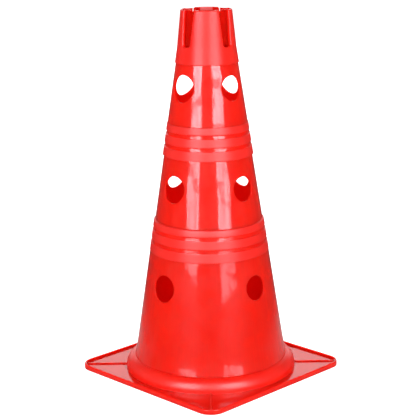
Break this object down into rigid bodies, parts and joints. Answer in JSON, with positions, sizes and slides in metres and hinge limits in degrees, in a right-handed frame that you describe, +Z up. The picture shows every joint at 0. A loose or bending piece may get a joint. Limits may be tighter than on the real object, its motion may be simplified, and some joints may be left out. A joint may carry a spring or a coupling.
{
  "type": "sports marker cone",
  "caption": "Hollow tapered marker cone on a square base with a raised lip, with rows of round holes for training poles, raised rings and a fluted open neck.",
  "frame": {"origin": "centre of the square base, on the ground", "axes": "+Z up along the cone's axis; X and Y square to the base's sides and along the pole holes"},
  "size_m": [0.201, 0.201, 0.38],
  "materials": {
    "gloss_red": "polished mould surface",
    "matt_red": "fine textured mould surface"
  },
  "bodies": {
    "root": {"base_plate": "gloss_red", "base_rim": "gloss_red", "corner_ribs": "gloss_red", "foot_ring": "gloss_red", "lower_shell": "gloss_red", "lower_bands": "matt_red", "middle_shell": "gloss_red", "upper_bands": "matt_red", "upper_shell": "gloss_red", "pole_socket": "matt_red"}
  },
  "joints": []
}
